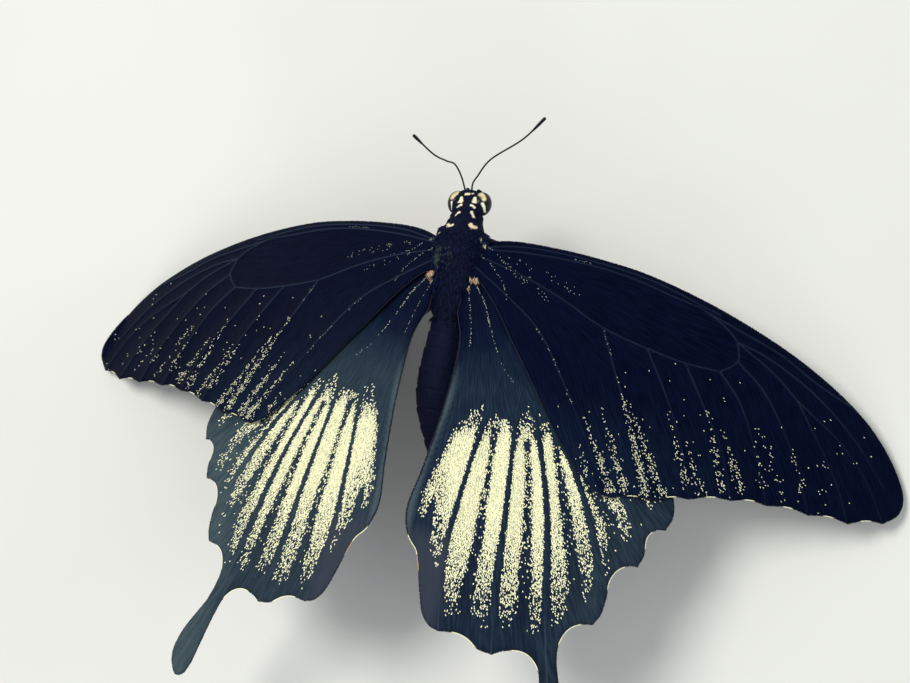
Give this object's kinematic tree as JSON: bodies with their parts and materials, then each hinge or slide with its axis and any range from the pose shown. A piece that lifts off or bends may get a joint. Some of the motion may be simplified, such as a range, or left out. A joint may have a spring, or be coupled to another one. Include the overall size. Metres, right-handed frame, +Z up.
{
  "type": "swallowtail butterfly model",
  "caption": "Still, life-size black swallowtail butterfly with spread, pale-dusted wings and spoon-shaped tails, resting on its feet and its left wing tip.",
  "frame": {"origin": "on the floor that the feet and the left wing tip rest on, under the middle of the object's box", "axes": "+Z up, +Y towards the head, +X towards the insect's right"},
  "size_m": [0.1094, 0.0728, 0.0333],
  "materials": {
    "scales": "matt, velvety blue-black wing scales with cream dusting between the veins",
    "fur": "matt blue-black hair and scales",
    "shell": "satin black chitin",
    "lens": "glossy dark compound eye"
  },
  "bodies": {
    "root": {"thorax": "fur", "abdomen": "fur", "head": "fur", "proboscis": "shell", "eye_right": "lens", "antenna_right": "shell", "palp_right": "fur", "forewing_right": "scales", "hindwing_right": "scales", "foreleg_right": "shell", "midleg_right": "shell", "hindleg_right": "shell", "eye_left": "lens", "antenna_left": "shell", "palp_left": "fur", "forewing_left": "scales", "hindwing_left": "scales", "foreleg_left": "shell", "midleg_left": "shell", "hindleg_left": "shell"}
  },
  "joints": []
}
